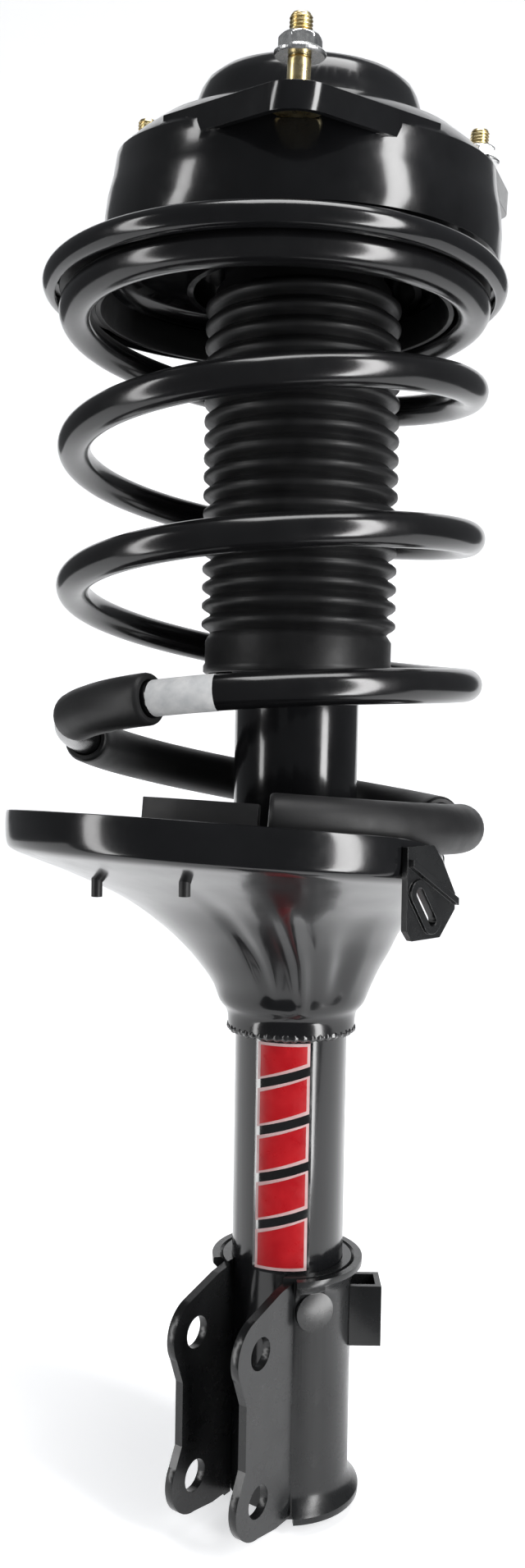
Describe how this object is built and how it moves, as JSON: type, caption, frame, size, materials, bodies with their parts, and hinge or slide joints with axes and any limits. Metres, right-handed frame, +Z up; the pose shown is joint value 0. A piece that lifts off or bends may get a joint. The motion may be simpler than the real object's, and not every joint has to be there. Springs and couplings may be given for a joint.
{
  "type": "strut assembly",
  "caption": "Front suspension strut with damper, coil spring, offset spring seats, steering bearing, studded tower mount and clevis knuckle bracket.",
  "frame": {"origin": "centre of the stud circle, on the face of the ears that meets the body tower", "axes": "+Z up the damper axis towards the car body; +X along the knuckle bolts; the knuckle flanges point to -Y, towards the wheel"},
  "size_m": [0.1883, 0.2106, 0.574],
  "materials": {
    "black_enamel": "gloss black enamel",
    "bracket_enamel": "semi-gloss black enamel",
    "spring_coat": "gloss black powder coat on spring wire",
    "yellow_zinc": "yellow passivated zinc plate",
    "bright_zinc": "bright zinc plate",
    "bearing_steel": "ground bearing steel",
    "chromed_rod": "hard chrome",
    "sintered_iron": "sintered iron, oiled",
    "plain_steel": "drawn steel tube, oiled",
    "mount_rubber": "moulded natural rubber",
    "sleeve_rubber": "matte extruded rubber",
    "boot_rubber": "moulded bellows rubber",
    "cage_nylon": "natural nylon",
    "cup_plastic": "black moulded plastic",
    "bump_foam": "cellular urethane",
    "ring_polymer": "filled PTFE",
    "label_film": "printed gloss film"
  },
  "bodies": {
    "top_mount": {"mount_shell": "black_enamel", "dome_cap": "black_enamel", "mount_rubber": "mount_rubber", "mount_sleeve": "bright_zinc", "mount_washer_upper": "bright_zinc", "mount_washer_lower": "bright_zinc", "rod_nut": "yellow_zinc", "mount_studs": "yellow_zinc", "stud_nuts": "bright_zinc", "bearing_plate": "bright_zinc", "bearing_race_upper": "bearing_steel", "bump_cup": "cup_plastic", "bump_stop": "bump_foam", "piston_rod": "chromed_rod", "piston": "sintered_iron", "piston_ring": "ring_polymer", "piston_nut": "plain_steel", "rebound_stop": "ring_polymer"},
    "ball_cage": {"bearing_cage": "cage_nylon", "bearing_balls": "bearing_steel"},
    "spring_seat": {"upper_seat": "black_enamel", "upper_isolator": "sleeve_rubber", "bearing_race_lower": "bearing_steel", "bearing_seal": "mount_rubber", "dust_boot": "boot_rubber"},
    "strut_body": {"strut_tube": "black_enamel", "tube_base": "black_enamel", "tube_cap": "cup_plastic", "rod_guide": "sintered_iron", "rod_seal": "mount_rubber", "inner_cylinder": "plain_steel", "base_valve": "sintered_iron", "coil_spring": "spring_coat", "spring_sleeves": "sleeve_rubber", "lower_seat": "black_enamel", "lower_isolator": "sleeve_rubber", "hose_bracket": "bracket_enamel", "line_bracket": "bracket_enamel", "knuckle_bracket": "bracket_enamel", "tube_label": "label_film"}
  },
  "joints": [
    {"name": "steer_bearing", "type": "hinge", "parent": "top_mount", "child": "spring_seat", "pos_m": [0, 0, 0], "axis": [0, 0, 1], "continuous": true},
    {"name": "cage_roll", "type": "hinge", "parent": "top_mount", "child": "ball_cage", "pos_m": [0, 0, 0], "axis": [0, 0, 1], "continuous": true},
    {"name": "suspension_travel", "type": "slide", "parent": "spring_seat", "child": "strut_body", "axis": [0, 0, 1], "range_m": [0, 0.09], "stiffness_N_per_m": 20000, "springref_m": -0.06, "deforming": ["coil_spring", "spring_sleeves"]}
  ],
  "couplings": [
    {"joint": "cage_roll", "follows": "steer_bearing", "ratio": 0.5}
  ]
}
